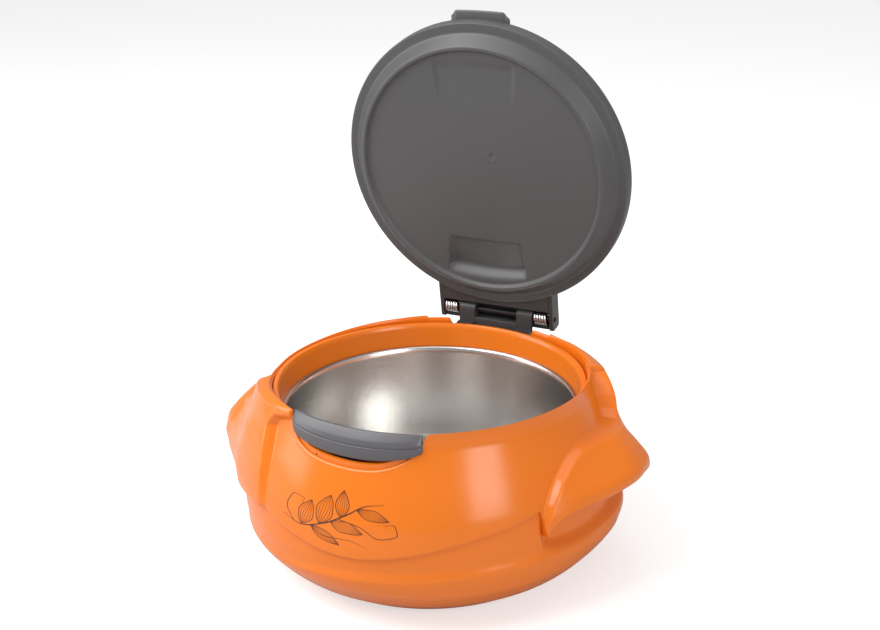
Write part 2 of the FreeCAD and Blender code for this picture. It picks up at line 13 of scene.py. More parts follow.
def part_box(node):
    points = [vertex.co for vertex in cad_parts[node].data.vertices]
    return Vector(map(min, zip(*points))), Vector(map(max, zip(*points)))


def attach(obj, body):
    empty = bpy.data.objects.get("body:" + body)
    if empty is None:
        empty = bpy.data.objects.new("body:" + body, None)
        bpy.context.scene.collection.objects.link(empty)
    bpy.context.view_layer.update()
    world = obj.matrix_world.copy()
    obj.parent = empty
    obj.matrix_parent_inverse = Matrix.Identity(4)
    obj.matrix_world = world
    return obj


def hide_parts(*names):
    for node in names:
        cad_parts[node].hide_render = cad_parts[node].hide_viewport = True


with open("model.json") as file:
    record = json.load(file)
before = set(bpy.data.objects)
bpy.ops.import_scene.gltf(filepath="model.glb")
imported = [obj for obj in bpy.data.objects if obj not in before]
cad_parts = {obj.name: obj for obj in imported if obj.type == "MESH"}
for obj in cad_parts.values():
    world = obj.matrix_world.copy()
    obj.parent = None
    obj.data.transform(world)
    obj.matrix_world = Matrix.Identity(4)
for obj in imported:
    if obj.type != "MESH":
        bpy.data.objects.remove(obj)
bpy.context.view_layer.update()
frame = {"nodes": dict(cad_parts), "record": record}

MM = 0.001


# Sizes taken from the frame
def low(node, axis):
    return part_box(node)[0][axis] / MM


def high(node, axis):
    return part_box(node)[1][axis] / MM


joints = {joint["name"]: joint for joint in frame["record"]["behaviour"]["joints"]}
HINGE = np.array(joints["lid_hinge"]["pos_m"]) / MM
OPEN_ANGLE = joints["lid_hinge"]["range_deg"][1]
FLAP_REACH = high("outer_shell", 0) - 0.5
CREST = high("outer_shell", 2)
RING_OUTER = high("rim_ring", 0)
RING_TOP = high("rim_ring", 2)
LIP_RADIUS = 100.0
LIP_HEIGHT = RING_TOP - 3.1
LID_RADIUS = high("lid_shell", 0)
LID_PLANE = LIP_HEIGHT + 3.4
BOWL_RIM = high("steel_bowl", 2)
BOWL_FLOOR = low("steel_bowl", 2)


# Curve helpers
def smooth(t):
    t = np.clip(t, 0.0, 1.0)
    return t * t * (3.0 - 2.0 * t)


def keyed(keys, x):
    """A smooth curve through (x, value) keys that doesn't overshoot between them."""
    xs = np.array([key[0] for key in keys], float)
    ys = np.array([key[1:] for key in keys], float)
    step = np.diff(xs)[:, None]
    slope = np.diff(ys, axis=0) / step
    tangent = np.zeros_like(ys)
    same = slope[1:] * slope[:-1] > 0
    mean = 2.0 * slope[1:] * slope[:-1] / np.where(same, slope[1:] + slope[:-1], 1.0)
    tangent[1:-1] = np.where(same, mean, 0.0)
    tangent[0], tangent[-1] = slope[0], slope[-1]
    x = np.clip(np.asarray(x, float), xs[0], xs[-1])
    i = np.clip(np.searchsorted(xs, x, side="right") - 1, 0, len(xs) - 2)
    h = (xs[i + 1] - xs[i])
    t = ((x - xs[i]) / h)[..., None]
    h = h[..., None]
    value = ((2 * t ** 3 - 3 * t ** 2 + 1) * ys[i] + (t ** 3 - 2 * t ** 2 + t) * h * tangent[i]
             + (3 * t ** 2 - 2 * t ** 3) * ys[i + 1] + (t ** 3 - t ** 2) * h * tangent[i + 1])
    return value[..., 0] if ys.shape[1] == 1 else value


def rounded(points, radius, steps=5):
    """An open outline of (r, z) corners with each inner corner rounded by that radius where there is room."""
    points = [np.array(point, float) for point in points]
    out = [points[0]]
    for before, corner, after in zip(points, points[1:], points[2:]):
        back, ahead = before - corner, after - corner
        reach = min(radius, 0.45 * np.linalg.norm(back), 0.45 * np.linalg.norm(ahead))
        start = corner + back / np.linalg.norm(back) * reach
        end = corner + ahead / np.linalg.norm(ahead) * reach
        for k in range(steps + 1):
            t = k / steps
            out.append((1 - t) ** 2 * start + 2 * t * (1 - t) * corner + t ** 2 * end)
    out.append(points[-1])
    return out


def subdivided(points, longest):
    """The outline with points added so that no run is longer than a length."""
    out = [points[0]]
    for a, b in zip(points, points[1:]):
        count = max(1, int(math.ceil(np.linalg.norm(np.subtract(b, a)) / longest)))
        out += [np.asarray(a) + (np.asarray(b) - a) * k / count for k in range(1, count + 1)]
    return out


def opened(points):
    """Points of the closed lid, turned about the hinge to the rest pose."""
    turn = math.radians(OPEN_ANGLE)
    matrix = np.array([[1, 0, 0], [0, math.cos(turn), math.sin(turn)], [0, -math.sin(turn), math.cos(turn)]])
    return (np.asarray(points, float) - HINGE) @ matrix.T + HINGE


# Mesh helpers
def grid_faces(rows, columns):
    """Quads of a grid whose points run row by row, with each row closed on itself."""
    i, j = np.meshgrid(np.arange(rows - 1), np.arange(columns), indexing="ij")
    k = (j + 1) % columns
    below, above = i * columns, (i + 1) * columns
    return np.stack([below + j, below + k, above + k, above + j], axis=-1).reshape(-1, 4)


def add_mesh(name, points, faces, body, material, replaces=(), sharp=None):
    """A smooth mesh from points in millimetres, on its body. Sharp is an angle in degrees."""
    mesh = bpy.data.meshes.new(name)
    mesh.from_pydata((np.asarray(points) * MM).tolist(), [], [list(map(int, face)) for face in faces])
    mesh.validate()
    mesh.polygons.foreach_set("use_smooth", [True] * len(mesh.polygons))
    if sharp:
        mesh.set_sharp_from_angle(angle=math.radians(sharp))
    mesh.materials.append(material)
    piece = bpy.data.objects.new(name, mesh)
    bpy.context.scene.collection.objects.link(piece)
    if replaces:
        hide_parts(*replaces)
    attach(piece, body)
    return piece


def turned_points(outline, segments):
    """Points of an outline of (radius, height), turned about Z."""
    angle = np.linspace(0, 2 * np.pi, segments, endpoint=False)
    outline = np.asarray(outline, float)
    r, z = outline[:, 0][:, None], outline[:, 1][:, None]
    height = np.broadcast_to(z, (len(outline), segments))
    return np.stack([r * np.cos(angle), r * np.sin(angle), height], axis=-1).reshape(-1, 3)


def turned(name, outline, body, material, replaces=(), segments=256, place=None, sharp=None):
    """A surface turned about Z from an outline, left open at its two ends."""
    points = turned_points(outline, segments)
    if place:
        points = place(points)
    return add_mesh(name, points, grid_faces(len(outline), segments), body, material, replaces, sharp)


def tube(path, radius, sides):
    """Points and faces of a round tube along a path, with its ends closed."""
    path = np.asarray(path, float)
    ahead = np.gradient(path, axis=0)
    ahead /= np.linalg.norm(ahead, axis=1)[:, None]
    side = np.cross(ahead[0], [0.3, 0.2, 1.0])
    points = []
    for here, direction in zip(path, ahead):
        side = side - direction * (side @ direction)
        side /= np.linalg.norm(side)
        other = np.cross(direction, side)
        for k in range(sides):
            turn = 2 * math.pi * k / sides
            points.append(here + radius * (math.cos(turn) * side + math.sin(turn) * other))
    faces = [list(face) for face in grid_faces(len(path), sides)]
    faces.append(list(range(sides))[::-1])
    faces.append([(len(path) - 1) * sides + k for k in range(sides)])
    return points, faces


def prism(outline, start, end):
    """Points and faces of an outline in (y, z), drawn out along X."""
    count = len(outline)
    points = [(x, y, z) for x in (start, end) for y, z in outline]
    faces = [[k, (k + 1) % count, count + (k + 1) % count, count + k] for k in range(count)]
    return points, faces + [list(range(count))[::-1], list(range(count, 2 * count))]


def soften(piece, width):
    """A bevel along the piece's hard edges."""
    bevel = piece.modifiers.new("edge", "BEVEL")
    bevel.width = width * MM
    bevel.segments = 3
    bevel.limit_method = "ANGLE"
    bevel.angle_limit = math.radians(40)
    bevel.harden_normals = True


# Materials
MOTTLE = 0.06


def node_material(name, color, roughness, metallic=0.0):
    material = bpy.data.materials.new(name)
    material.use_nodes = True
    shader = material.node_tree.nodes["Principled BSDF"]
    shader.inputs["Base Color"].default_value = (*color, 1.0)
    shader.inputs["Roughness"].default_value = roughness
    shader.inputs["Metallic"].default_value = metallic
    return material, material.node_tree, shader


def noise(tree, scale, detail=3.0, stretch=(1, 1, 1)):
    """Noise in object coordinates, in features per metre."""
    place = tree.nodes.new("ShaderNodeTexCoord")
    mapping = tree.nodes.new("ShaderNodeMapping")
    mapping.inputs["Scale"].default_value = stretch
    texture = tree.nodes.new("ShaderNodeTexNoise")
    texture.inputs["Scale"].default_value = scale
    texture.inputs["Detail"].default_value = detail
    tree.links.new(place.outputs["Object"], mapping.inputs["Vector"])
    tree.links.new(mapping.outputs["Vector"], texture.inputs["Vector"])
    return texture.outputs["Fac"]


def ramp(tree, source, low_value, high_value):
    """Source 0..1 mapped to a range of numbers."""
    node = tree.nodes.new("ShaderNodeMapRange")
    node.inputs["To Min"].default_value = low_value
    node.inputs["To Max"].default_value = high_value
    tree.links.new(source, node.inputs["Value"])
    return node.outputs["Result"]


def color_mix(tree, source, color_a, color_b):
    node = tree.nodes.new("ShaderNodeMix")
    node.data_type = "RGBA"
    node.inputs["A"].default_value = (*color_a, 1.0)
    node.inputs["B"].default_value = (*color_b, 1.0)
    tree.links.new(source, node.inputs["Factor"])
    return node.outputs["Result"]


def bump(tree, shader, source, strength, distance):
    node = tree.nodes.new("ShaderNodeBump")
    node.inputs["Strength"].default_value = strength
    node.inputs["Distance"].default_value = distance
    tree.links.new(source, node.inputs["Height"])
    tree.links.new(node.outputs["Normal"], shader.inputs["Normal"])


def plastic(name, color, roughness, grain=900.0, depth=0.00004):
    """Moulded plastic: slightly mottled colour, uneven gloss and a fine skin."""
    material, tree, shader = node_material(name, color, roughness)
    mottle = noise(tree, 14.0)
    darker = tuple(channel * (1.0 - MOTTLE) for channel in color)
    tree.links.new(color_mix(tree, mottle, color, darker), shader.inputs["Base Color"])
    gloss = ramp(tree, noise(tree, 60.0), roughness * 0.85, roughness * 1.15)
    tree.links.new(gloss, shader.inputs["Roughness"])
    bump(tree, shader, noise(tree, grain, 2.0), 0.25, depth)
    return material


def steel(name, color, roughness, stretch):
    """Drawn or spun steel: fine lines along one direction in its gloss and relief."""
    material, tree, shader = node_material(name, color, roughness, 1.0)
    lines = noise(tree, 220.0, 4.0, stretch)
    tree.links.new(ramp(tree, lines, roughness * 0.7, roughness * 1.4), shader.inputs["Roughness"])
    cloudy = color_mix(tree, noise(tree, 9.0), color, tuple(channel * 0.93 for channel in color))
    tree.links.new(cloudy, shader.inputs["Base Color"])
    bump(tree, shader, lines, 0.12, 0.00002)
    return material


ORANGE = plastic("orange_gloss", (0.82, 0.185, 0.008), 0.22)
LID_GREY = plastic("lid_satin_grey", (0.083, 0.081, 0.083), 0.42, grain=2600.0, depth=0.00006)
BUTTON_GREY = plastic("button_satin_grey", (0.105, 0.101, 0.11), 0.33, grain=2600.0)
HINGE_GREY = plastic("hinge_satin_grey", (0.052, 0.05, 0.052), 0.42, grain=2200.0)
BOWL_STEEL = steel("spun_steel", (0.74, 0.73, 0.71), 0.22, (1.0, 1.0, 14.0))
WIRE_STEEL = steel("bright_wire", (0.80, 0.80, 0.80), 0.16, (1.0, 1.0, 1.0))
PLAIN_STEEL = steel("plain_steel", (0.55, 0.55, 0.55), 0.34, (6.0, 1.0, 1.0))
# Near-black steel. On the button pivot pin, this darkness is painted shade where the notch lies in shadow
DARK_STEEL_AND_SHADE = steel("dark_steel_and_painted_shade", (0.06, 0.06, 0.06), 0.5, (6.0, 1.0, 1.0))
FOAM = plastic("pale_foam", (0.75, 0.68, 0.45), 0.85, grain=700.0, depth=0.0003)
PRINT_INK = plastic("print_ink", (0.085, 0.022, 0.008), 0.5, grain=4000.0)

# Outer shell. Its keys are (folded angle, value), where the folded angle is 0 near a flap's middle
FOLD_START = -34.0
FOLD_END = 146.0


def fold(theta):
    """The angle folded by the half-turn symmetry, from FOLD_START up to 180 more."""
    return (np.asarray(theta, float) - FOLD_START) % 180.0 + FOLD_START


# The round body's side, as (height, radius)
BODY_SIDE = [(0, 90), (2.5, 94.5), (5, 97.5), (14, 111), (22, 119), (30, 125), (40, 128.3), (48, 128.9),
             (58, 128.4), (66, 127.2), (76, 125.2), (86, 122), (96, 118.2), (104, 114.8), (110, 112.3),
             (116, 109.9), (122, 107.9), (134, 106.3)]
# The soft crease round the lower layer, as a height
CREASE = [(-34, 49.5), (-31, 49.5), (-24, 47.4), (-16, 45.5), (-7, 42.6), (1, 39.5), (8, 37.5), (20, 36),
          (40, 37), (62, 38), (68, 37.2), (79, 40.5), (90, 43), (105, 45.4), (118, 47.2), (133, 49),
          (146, 49.5)]
# The lower edge of the upper layer: a flap's lip, then the wave across the panel. The next two lists say how
# thick the edge is and how far its underside rises towards the body
LIP_EDGE = [(-34, 75.8), (-31.9, 76.4), (-31.1, 60.0), (-30.2, 63.4), (-29, 66.5), (-27, 69.8), (-23, 72.2),
            (-19, 73), (-12, 73.6), (-4, 74.2), (4, 74), (10, 71.5), (14, 69), (18, 67), (24, 64), (30, 61.6),
            (36, 60.8), (42, 61.5), (48, 62.8), (56, 64.6), (65, 61.2), (76, 57.5), (83, 54.8), (91, 53.9),
            (100, 55.4), (107, 58.2), (114, 61.4), (122, 65.4), (130, 68.9), (139, 72.6), (143.5, 74.6),
            (146, 75.6)]
LIP_THICKNESS = [(-34, 1.4), (-31, 1.6), (-25, 2.2), (-17, 3.6), (-7, 4.6), (4, 5.0), (17, 4.4), (26, 3.0),
                 (34, 1.6), (40, 1.4), (146, 1.4)]
UNDERCUT = [(-34, 0), (-30, 0.0), (-24, 2.5), (-15, 5), (4, 7), (14, 6), (24, 3), (31, 0), (40, 0), (146, 0)]
LEVELS = [56, 70, 80, 90, 97, 104, 111, 118, 125]
# The proud side, a flap or the collar's root: its radius at each of the levels above
PROUD = [
    (-34, 129.9, 128.6, 126.6, 123.3, 120.6, 117.4, 114.0, 110.8, 107.6),
    (-30, 130.6, 130.4, 127.6, 123.8, 120.8, 117.6, 114.2, 110.9, 107.6),
    (-25, 131.0, 133.0, 130.4, 125.6, 121.4, 117.9, 114.4, 111.0, 107.7),
    (-17, 131.0, 137.2, 135.6, 129.0, 123.6, 119.0, 115.0, 111.2, 107.8),
    (-7, 131.0, 143.6, 142.6, 134.8, 128.4, 122.2, 116.8, 112.4, 109.0),
    (3, 131.0, 148.4, 147.6, 141.8, 135.4, 127.6, 121.0, 117.0, 113.0),
    (9, 133.0, 149.0, 148.2, 141.4, 134.6, 128.0, 124.6, 122.0, 119.4),
    (13, 135.0, 147.6, 144.8, 137.4, 130.8, 126.4, 124.4, 122.6, 120.0),
    (17, 135.5, 142.8, 139.6, 132.8, 127.8, 125.0, 124.0, 122.2, 119.4),
    (24, 131.5, 136.6, 134.4, 129.0, 126.0, 124.0, 123.0, 120.8, 117.8),
    (31, 130.4, 132.6, 131.4, 128.0, 125.6, 123.4, 121.6, 119.2, 116.0),
    (37, 130.9, 131.8, 130.2, 127.6, 125.4, 122.8, 120.2, 117.4, 114.4),
    (45, 130.2, 130.0, 128.4, 126.0, 123.8, 121.0, 118.0, 115.4, 112.4),
    (54, 129.8, 128.9, 127.2, 124.6, 122.3, 119.8, 116.8, 114.0, 111.0),
    (64, 129.3, 128.0, 125.8, 122.7, 120.0, 117.3, 114.3, 111.8, 109.4),
    (146, 129.0, 127.4, 125.0, 121.6, 118.6, 115.6, 112.4, 110.0, 107.8),
]
# The recessed panel between two flaps, as corners on the chart
PANEL = [(57.5, 40), (57.8, 69), (56.2, 91), (54.4, 104), (52.6, 114), (54.5, 120), (62, 124.5), (72, 129),
         (80, 145), (212, 145), (208, 127), (203, 120), (199.5, 113), (196.5, 106), (193.5, 102.2),
         (190, 102.4), (185, 103.4), (180, 103.9), (173, 104), (168, 103.4), (164, 101.4), (160, 97.4),
         (156, 92.2), (153, 85.2), (151, 79.6), (149.2, 71.2), (148.2, 62), (148, 40)]
# The hollow under a flap, as corners on the chart
SCOOP = [(-31.6, 68), (-31.8, 58), (-30.8, 51.5), (-27, 48.9), (-22, 47.4), (-16, 46.2), (-8, 45.8),
         (0, 46.5), (8, 48.5), (16, 51.5), (23, 55), (28, 60), (29, 70), (20, 100), (0, 106), (-20, 96),
         (-30, 80)]
CHART_RADIUS = 120.0
PANEL_DEPTH = 0.8
PANEL_EDGE = 1.5
PILLAR_EDGE = 3.2
PILLAR_SPAN = (50, 75)
SCOOP_DEPTH = 5.5
LAYER_STEP = 2.0
# The lower layer swells under each flap: how far, round which (angle, height), and how wide
SWELL = 5.2
SWELL_MIDDLE = (10.0, 43.0)
SWELL_SPREAD = (15.0, 13.0)
# The far side's collar stands closer in than the near side's, round 195 degrees
FAR_COLLAR_INSET = 5.0
TABLE_STEP = 0.5


def signed_distance(theta, z, corners):
    """Distance in millimetres on the chart from a closed outline, above zero inside it."""
    scale = math.radians(CHART_RADIUS)
    x, y = np.asarray(theta) * scale, np.asarray(z)
    xs = np.array([corner[0] for corner in corners]) * scale
    ys = np.array([corner[1] for corner in corners], float)
    best = np.full(x.shape, 1e9)
    inside = np.zeros(x.shape, bool)
    for ax, ay, bx, by in zip(xs, ys, np.roll(xs, -1), np.roll(ys, -1)):
        t = np.clip(((x - ax) * (bx - ax) + (y - ay) * (by - ay)) / ((bx - ax) ** 2 + (by - ay) ** 2), 0, 1)
        best = np.minimum(best, np.hypot(x - ax - t * (bx - ax), y - ay - t * (by - ay)))
        crosses = (ay > y) != (by > y)
        inside ^= crosses & (x < (bx - ax) * (y - ay) / np.where(by == ay, 1.0, by - ay) + ax)
    return np.where(inside, best, -best)


def proud_table():
    """The proud side's radius on a fine grid of folded angle and height."""
    angles = np.arange(FOLD_START, FOLD_END + TABLE_STEP, TABLE_STEP)
    heights = np.arange(LEVELS[0], LEVELS[-1] + TABLE_STEP, TABLE_STEP)
    rows = keyed(PROUD, angles)
    level_keys = [(level, *rows[:, k]) for k, level in enumerate(LEVELS)]
    return keyed(level_keys, heights).T


PROUD_TABLE = proud_table()


def proud_radius(phi, z):
    """The proud side's radius, read from its table."""
    row = (np.clip(phi, FOLD_START, FOLD_END) - FOLD_START) / TABLE_STEP
    column = (np.clip(z, LEVELS[0], LEVELS[-1]) - LEVELS[0]) / TABLE_STEP
    i = np.clip(row.astype(int), 0, PROUD_TABLE.shape[0] - 2)
    j = np.clip(column.astype(int), 0, PROUD_TABLE.shape[1] - 2)
    a, b = row - i, column - j
    value = ((1 - a) * (1 - b) * PROUD_TABLE[i, j] + a * (1 - b) * PROUD_TABLE[i + 1, j]
             + (1 - a) * b * PROUD_TABLE[i, j + 1] + a * b * PROUD_TABLE[i + 1, j + 1])
    return value - 0.25 * np.maximum(0.0, z - LEVELS[-1])


def upper_radius(theta, z):
    """The side above the lip edge: the recessed panel, or the proud flap and collar root."""
    theta, z = np.broadcast_arrays(np.asarray(theta, float), np.asarray(z, float))
    phi = fold(theta)
    unrolled = np.where(phi < 45.0, phi + 180.0, phi)
    depth = signed_distance(unrolled, z, PANEL)
    on_pillar = (phi > PILLAR_SPAN[0]) & (phi < PILLAR_SPAN[1])
    panel = smooth(0.5 + 0.5 * depth / np.where(on_pillar, PILLAR_EDGE, PANEL_EDGE))
    recessed = keyed(BODY_SIDE, z) - PANEL_DEPTH
    far_side = smooth(1.0 - np.abs((theta + 345.0) % 360.0 - 180.0) / 34.0)
    proud = proud_radius(phi, z) - FAR_COLLAR_INSET * (far_side * smooth((z - 97.0) / 14.0))
    past_pillar = smooth((phi - 64.0) / 8.0) * smooth((144.0 - phi) / 3.0)
    proud = proud + past_pillar * np.minimum(0.0, recessed - proud)
    return proud + (recessed - proud) * panel


def lower_radius(theta, z):
    """The side below the lip edge: the lower layer, its crease and the hollow under a flap."""
    theta, z = np.broadcast_arrays(np.asarray(theta, float), np.asarray(z, float))
    phi = fold(theta)
    crease = keyed(CREASE, phi)
    layer = -PANEL_DEPTH - LAYER_STEP * smooth((z - crease + 6.0) / 8.0)
    hollow = signed_distance(phi, z, SCOOP)
    across = (phi - SWELL_MIDDLE[0]) / SWELL_SPREAD[0]
    along = (z - SWELL_MIDDLE[1]) / SWELL_SPREAD[1]
    layer = layer + SWELL * np.exp(-across ** 2 - along ** 2)
    return keyed(BODY_SIDE, z) + layer - SCOOP_DEPTH * smooth(0.25 + hollow / 7.0)


# The wall's top and the button's notch in it, as (angle, height)
CREST_LINE = [(-180, 120.9), (-165, 122.3), (-150, 125.2), (-135, 128.2), (-125, 129.4), (-117, 129.6),
              (-90, 131), (-66, CREST - 0.3), (-50, CREST), (-24, CREST - 0.1), (-12, CREST - 0.4),
              (0, 130.6), (12, 130), (25, 128.8), (43, 126.8), (57, 126), (80, 126.3), (116, 125.8),
              (127, 124.8), (137, 124), (150, 122.8), (165, 121.6), (180, 120.9)]
NOTCH = [(-121, 140), (-118.6, 131), (-117, 122), (-114.6, 115.6), (-110, 111.2), (-104, 108.4),
         (-97, 107.2), (-90, 106.9), (-83, 107.6), (-77, 110.2), (-72.6, 114), (-69.4, 118.6), (-66.8, 125),
         (-64.6, 132), (-62.6, 140)]
NOTCH_SPAN = (-121.0, -62.6)
# The hinge's seat in the wall: its height, its two half widths, and how the wall steps up beside it
SEAT_HEIGHT = LIP_HEIGHT + 0.2
SEAT_INNER_HALF = 29.0
SEAT_OUTER_HALF = 46.5
SPRING_STEP = 5.2
SEAT_RISE = 18.0
SEAT_FADE = 7.0
WALL_RADIUS = 105.0
INNER_FRONT = LID_RADIUS + 0.7
INNER_BACK = LIP_RADIUS + 6.5
FLOOR_FRONT = LIP_HEIGHT - 4.0
LEDGE_BACK = LIP_HEIGHT - 2.0
# The foot's underside and edge, as (radius, height)
FOOT = [(86.6, 2.0), (87.0, 0.2), (87.6, 0.0), (89.4, 0.0)]
FOOT_TOP = 0.25
LIP_RUN = (0.06, 0.14, 0.25, 0.4, 0.55, 0.7, 0.85, 1.0)
RIM_ROUNDING = 4.5
RIM_WIDTH = 2.0
NOTCH_SHELF = 3.6
# Spans of angle where an edge runs up the wall, so the mesh is finer
DENSE = [(-125, -111), (-77, -61), (-34, -26), (8, 40), (146, 154), (118, 134), (-172, -140), (44, 62)]
FINE_STEP = 0.25
PLAIN_STEP = 0.45


def soft_min(a, b, radius):
    """The lower of two curves, with a rounded meeting."""
    blend = np.clip(0.5 + 0.5 * (b - a) / radius, 0, 1)
    return b + (a - b) * blend - radius * blend * (1 - blend)


def crest_height(theta):
    """The wall's top round the body: front crest, back collar, the button's notch and the hinge's seat."""
    crest = keyed(CREST_LINE, theta)
    inside = (theta > NOTCH_SPAN[0]) & (theta < NOTCH_SPAN[1])
    notch = keyed(NOTCH, theta)
    crest = np.where(inside, soft_min(crest, notch, 3.0), crest)
    inner_half = math.degrees(math.asin(SEAT_INNER_HALF / WALL_RADIUS))
    outer_half = math.degrees(math.asin(SEAT_OUTER_HALF / WALL_RADIUS))
    away = np.abs(theta - 90.0)
    seat = SEAT_HEIGHT + SPRING_STEP * smooth((away - inner_half) / 2.0)
    seat = seat + SEAT_RISE * np.clip((away - outer_half) / SEAT_FADE, 0, 1) ** 0.6
    return np.where(away < outer_half + SEAT_FADE, soft_min(crest, seat, 1.5), crest)


def back_share(theta):
    """0 at the front wall, 1 at the back collar, with a taper between them."""
    return smooth((theta - 24.0) / 22.0) * smooth((192.0 - theta) / 14.0)


def shell_angles():
    """Angles round the shell, closer together where an edge runs up the wall."""
    angles = []
    here = -180.0
    while here < 180.0 - 1e-6:
        angles.append(here)
        fine = any(start <= here <= end for start, end in DENSE)
        here += FINE_STEP if fine else PLAIN_STEP
    return np.array(angles)


# Each function below gives rows of (radius, height), with a value for every angle round the shell
def lower_rows(theta, root):
    """The foot, then the lower layer up to the root of the lip."""
    rows = [(np.full(theta.shape, radius), height) for radius, height in FOOT]
    for t in np.linspace(0.0, 1.0, 84) ** 0.94:
        z = FOOT_TOP + (root - FOOT_TOP) * t
        rows.append((lower_radius(theta, z), z))
    return rows


def lip_rows(theta, lip, thick, undercut):
    """Out along the lip's underside, then round its edge."""
    root = lip + undercut
    root_radius = lower_radius(theta, root)
    edge_radius = np.minimum(upper_radius(theta, lip + thick), FLAP_REACH)
    inner_edge = root_radius + (edge_radius - root_radius) * 0.9
    rows = []
    for t in LIP_RUN:
        bow = 0.5 * undercut * math.sin(math.pi * t)
        rows.append((root_radius + (inner_edge - root_radius) * t, root + (lip - root) * t ** 1.3 + bow))
    for t in np.linspace(0.2, 1.0, 5):
        turn = t * math.pi / 2
        rows.append((inner_edge + (edge_radius - inner_edge) * math.sin(turn),
                     lip + thick * (1 - math.cos(turn))))
    return rows


def upper_rows(theta, start, shoulder):
    """The upper layer, from the lip's edge to the rim's shoulder."""
    rows = []
    for t in np.linspace(0.0, 1.0, 116)[1:]:
        z = start + (shoulder - start) * t
        rows.append((np.minimum(upper_radius(theta, z), FLAP_REACH), z))
    return rows


def rim_rows(theta, crest, rounding):
    """Over the rim, past the shelf in the notch, and down to the ledge that holds the rim ring."""
    shoulder = crest - rounding
    share = back_share(np.where(theta < -150.0, theta + 360.0, theta))
    outer = np.minimum(upper_radius(theta, shoulder), FLAP_REACH)
    inner = INNER_FRONT + (INNER_BACK - INNER_FRONT) * share
    in_notch = smooth((theta - NOTCH_SPAN[0]) / 3.0) * smooth((NOTCH_SPAN[1] - theta) / 3.0)
    notch_floor = np.clip(in_notch * smooth((121.0 - crest) / 6.0), 0, 1)
    top = inner + RIM_WIDTH + (outer - inner - 2 * RIM_WIDTH) * notch_floor
    drop = np.minimum(2.0, 0.4 * rounding)
    rows = []
    for t in np.linspace(0.0, 1.0, 9)[1:]:
        turn = t * math.pi / 2
        rows.append((top + (outer - top) * math.cos(turn), shoulder + rounding * math.sin(turn)))
    for t in (0.33, 0.66, 1.0):
        turn = t * math.pi / 2
        rows.append((top - (top - inner) * math.sin(turn) * (1 - in_notch) * 0.5,
                     crest - drop * (1 - math.cos(turn))))
    shelf = NOTCH_SHELF * in_notch * smooth((119.0 - crest) / 7.0)
    for inward, raised in ((0.56, 0.0), (0.66, 0.9), (0.9, 1.0)):
        rows.append((top - (top - inner) * (inward - 0.5 * in_notch),
                     crest - drop + (drop + shelf) * raised * in_notch))
    floor = np.minimum(np.where(share > 0.02, LEDGE_BACK, FLOOR_FRONT), crest - drop - 0.2)
    for t in (0.5, 1.0):
        rows.append((inner, crest - drop + (floor - crest + drop) * t))
    rows.append((inner - 0.8, floor - 0.3))
    behind_ring = np.full(theta.shape, RING_OUTER - 0.4)
    return rows + [(behind_ring, floor - 0.4), (behind_ring, floor - 6.0)]


def shell_surface():
    """Points of the whole shell, with the counts of its rows and columns."""
    theta = shell_angles()
    phi = fold(theta)
    lip = keyed(LIP_EDGE, phi)
    thick = keyed(LIP_THICKNESS, phi)
    undercut = keyed(UNDERCUT, phi)
    crest = crest_height(theta)
    wall = np.clip((crest - lip) / 30.0, 0.3, 1.0)
    rounding = RIM_ROUNDING * wall * (0.45 + 0.55 * smooth((crest - 118.0) / 8.0))
    rows = lower_rows(theta, lip + undercut)
    rows += lip_rows(theta, lip, thick, undercut)
    rows += upper_rows(theta, lip + thick, crest - rounding)
    rows += rim_rows(theta, crest, rounding)
    turn = np.radians(theta)
    points = [np.stack([radius * np.cos(turn), radius * np.sin(turn), np.broadcast_to(height, theta.shape)],
                       axis=-1) for radius, height in rows]
    return np.concatenate(points), len(rows), len(theta)


points, row_count, column_count = shell_surface()
add_mesh("shell_moulding", points, grid_faces(row_count, column_count), "body", ORANGE,
         ["outer_shell"], sharp=48)

# Rim ring, steel bowl and base cover: smooth turned forms on the sizes of the solids
ring_outline = rounded([
    (RING_OUTER - 0.2, BOWL_RIM + 0.4), (RING_OUTER, LIP_HEIGHT - 4.4), (RING_OUTER, RING_TOP - 0.5),
    (RING_OUTER - 0.8, RING_TOP), (LIP_RADIUS + 1.3, RING_TOP), (LIP_RADIUS + 0.1, LIP_HEIGHT + 0.6),
    (LIP_RADIUS - 0.4, LIP_HEIGHT - 6.0), (LIP_RADIUS - 1.0, BOWL_RIM + 0.1),
], 0.9)
turned("rim_ring_moulding", ring_outline, "body", ORANGE, ["rim_ring"], sharp=60)

SHEET = 0.8
BOWL_EDGE = LIP_RADIUS + 2.2
bowl_inside = rounded([
    (0, BOWL_FLOOR + SHEET), (70, BOWL_FLOOR + SHEET), (88, BOWL_FLOOR + 9),
    (LIP_RADIUS - 4.3, BOWL_RIM - 3.2), (LIP_RADIUS - 3.2, BOWL_RIM - 0.1), (BOWL_EDGE, BOWL_RIM),
], 9.0, 12)
bowl_outside = [(min(r + (SHEET if z > BOWL_FLOOR + 3 else 0.0), BOWL_EDGE), z - SHEET)
                for r, z in bowl_inside[::-1]]
bowl_outline = subdivided([np.array(point) for point in bowl_inside + bowl_outside], 6.0)
turned("bowl_spun", bowl_outline, "body", BOWL_STEEL, ["steel_bowl"], sharp=50)

cover_low = low("base_cover", 2)
cover_radius = high("base_cover", 0)
cover_outline = rounded([
    (0, cover_low + 0.3), (20, cover_low + 0.3), (22, cover_low + 0.9), (60, cover_low + 0.9),
    (62, cover_low), (cover_radius - 4, cover_low), (cover_radius, cover_low + 0.6),
    (cover_radius, cover_low + 5.5),
], 1.0)
turned("base_cover_moulding", cover_outline, "body", ORANGE, ["base_cover"], sharp=45)

